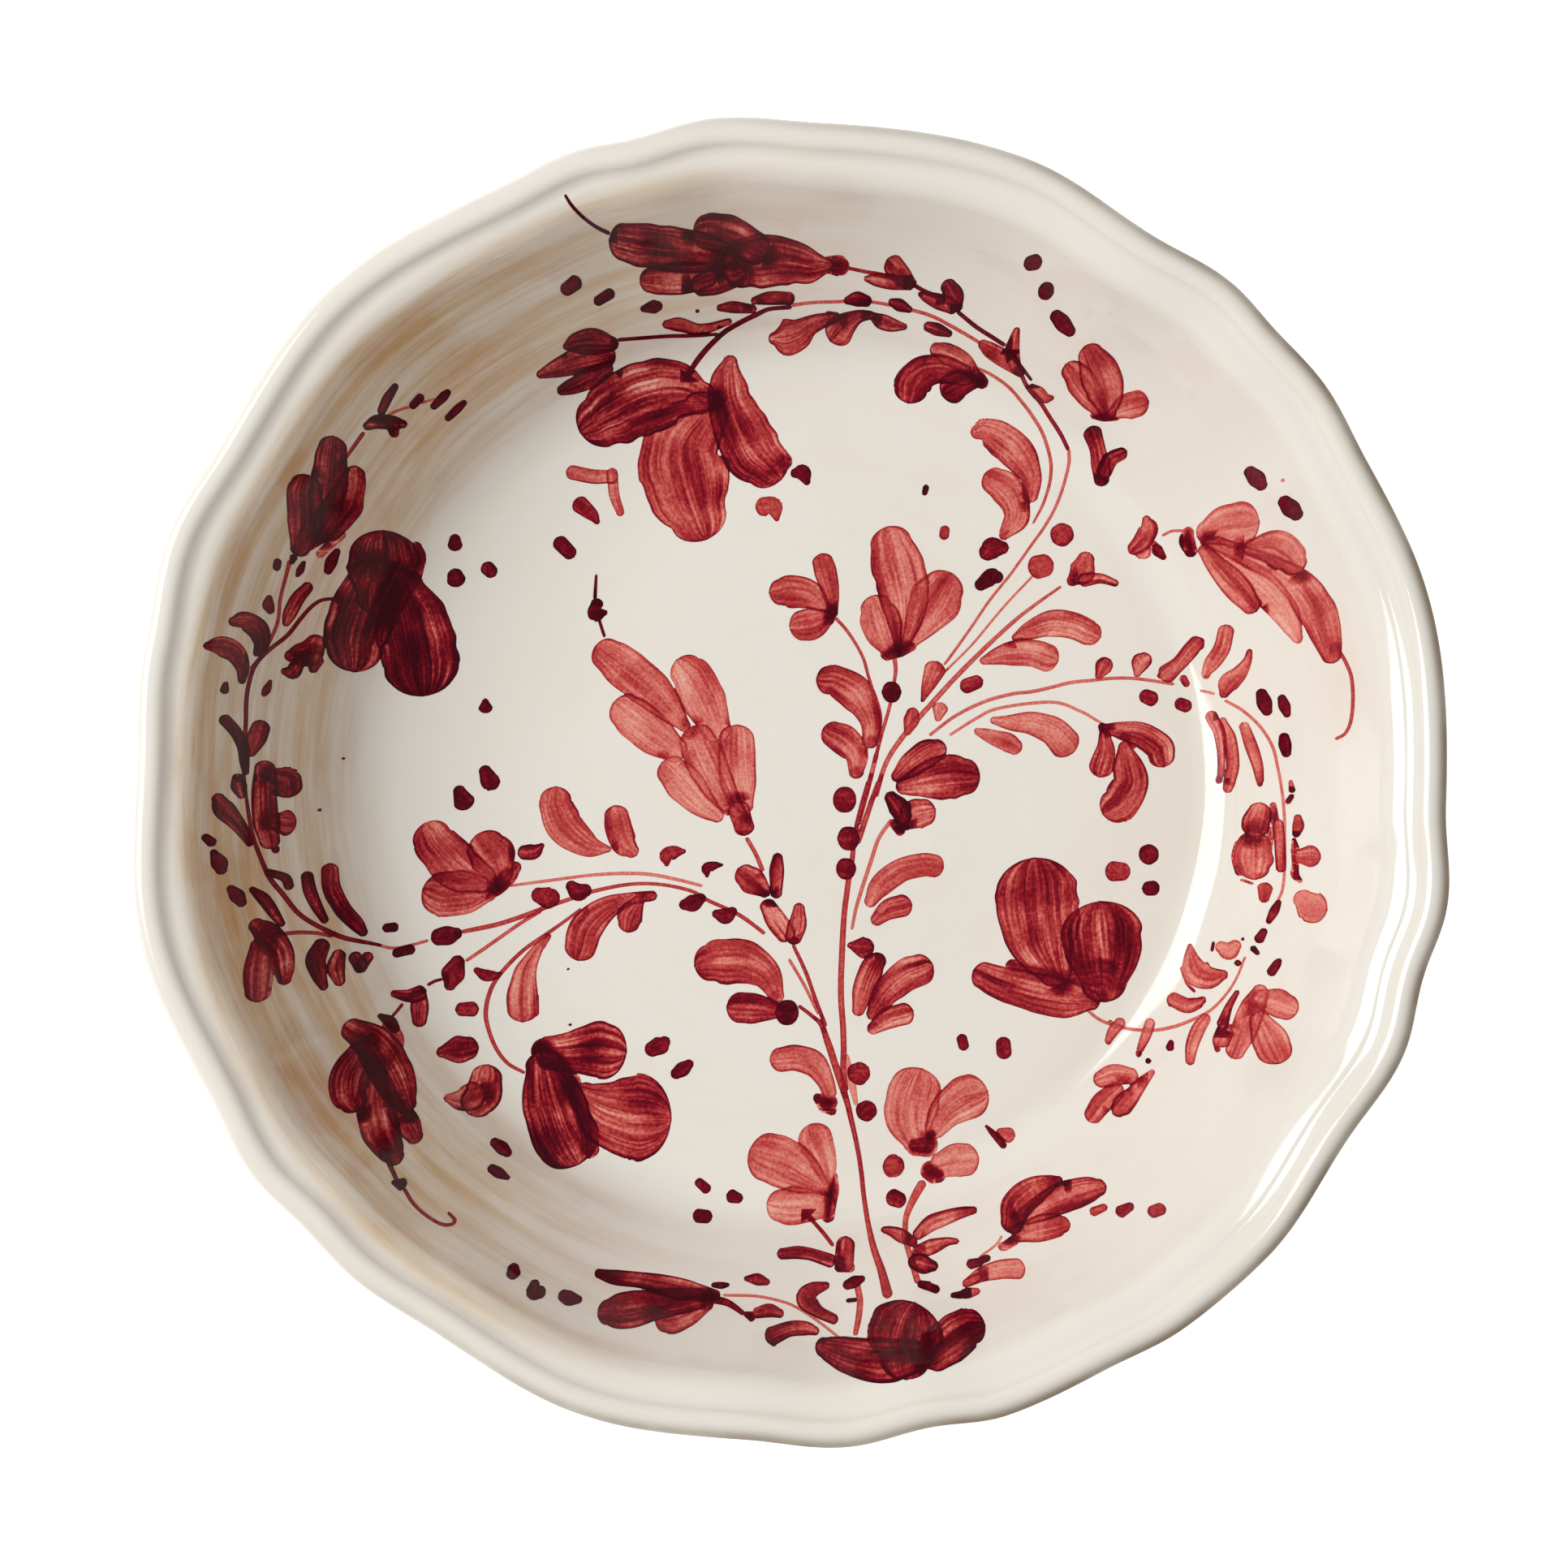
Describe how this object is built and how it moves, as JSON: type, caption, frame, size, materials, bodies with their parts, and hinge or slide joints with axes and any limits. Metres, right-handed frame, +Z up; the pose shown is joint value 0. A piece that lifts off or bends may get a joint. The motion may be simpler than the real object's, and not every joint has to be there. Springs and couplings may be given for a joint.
{
  "type": "serving bowl",
  "caption": "Wide shallow serving bowl in glazed earthenware: flat floor, steep walls, waved rolled lip, low foot ring, hand-brushed floral spray inside.",
  "frame": {"origin": "centre of the foot ring's base, on the surface that the bowl stands on", "axes": "+Z up along the bowl's axis, out of the bowl's mouth; +Y towards the top of the painted spray, away from its root; +X to the right of the spray seen from above"},
  "size_m": [0.3171, 0.3202, 0.076],
  "materials": {
    "fired_clay": "bare fired earthenware, matt and slightly gritty",
    "cream_glaze": "glossy cream glaze with faint brushed bands, thin and tan along the lip",
    "painted_decoration": "crimson brushwork under the same glossy glaze, streaked along each stroke, with darker edges and overlaps"
  },
  "bodies": {
    "root": {"clay_body": "fired_clay", "foot_ring": "fired_clay", "inner_glaze": "cream_glaze", "outer_glaze": "cream_glaze", "foot_well_glaze": "cream_glaze"}
  },
  "joints": []
}
